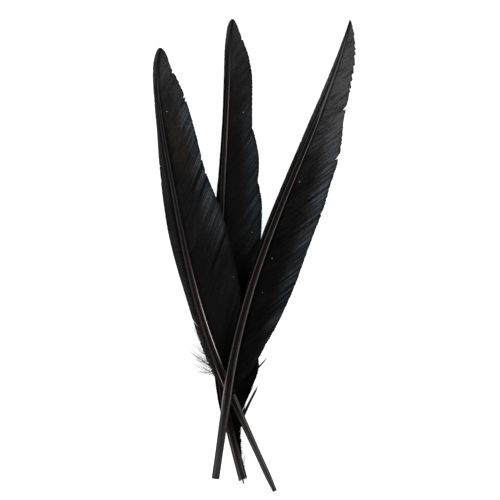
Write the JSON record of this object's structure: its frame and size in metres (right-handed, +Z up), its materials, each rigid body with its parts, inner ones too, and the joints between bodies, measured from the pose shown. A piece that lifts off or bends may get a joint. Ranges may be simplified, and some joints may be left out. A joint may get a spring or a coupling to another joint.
{
  "type": "quill pen",
  "caption": "Black flight-feather quills for pens, laid crossed at their barrels, each with a hollow barrel, a grooved shaft, a narrow vane and a broad vane.",
  "frame": {"origin": "centre of the bounding box in X and Y, at the surface that the quills lie on", "axes": "+Y runs along the feathers from barrels to tips, +Z is up from the surface, +X is towards the broad vanes"},
  "size_m": [0.1266, 0.2969, 0.0188],
  "materials": {
    "horn": "dyed horn, satin, dark grey-brown with fine lengthwise streaks",
    "shaft": "dyed horn, satin, with a red-brown groove between two greyer ridges",
    "vane": "near-black barbs with a faint blue-green sheen",
    "down": "thin hair-like grey-black barbs",
    "pith": "dry white foam-like pith",
    "membrane": "thin dry papery skin"
  },
  "bodies": {
    "middle_quill": {"middle_barrel": "horn", "middle_membrane": "membrane", "middle_rachis": "shaft", "middle_pith": "pith", "middle_narrow_vane": "vane", "middle_broad_vane_base": "vane", "middle_broad_vane_middle": "vane", "middle_broad_vane_tip": "vane", "middle_down": "down", "middle_loose_barbs": "down"},
    "left_quill": {"left_barrel": "horn", "left_membrane": "membrane", "left_rachis": "shaft", "left_pith": "pith", "left_narrow_vane": "vane", "left_broad_vane_base": "vane", "left_broad_vane_middle": "vane", "left_broad_vane_tip": "vane", "left_down": "down"},
    "right_quill": {"right_barrel": "horn", "right_membrane": "membrane", "right_rachis": "shaft", "right_pith": "pith", "right_narrow_vane": "vane", "right_broad_vane_base": "vane", "right_broad_vane_middle": "vane", "right_broad_vane_tip": "vane", "right_loose_barbs": "down"}
  },
  "joints": [
    {"name": "left_lift", "type": "slide", "parent": "middle_quill", "child": "left_quill", "axis": [0, 0, 1], "range_m": [0, 0.04]},
    {"name": "right_lift", "type": "slide", "parent": "left_quill", "child": "right_quill", "axis": [0, 0, 1], "range_m": [0, 0.04]}
  ]
}
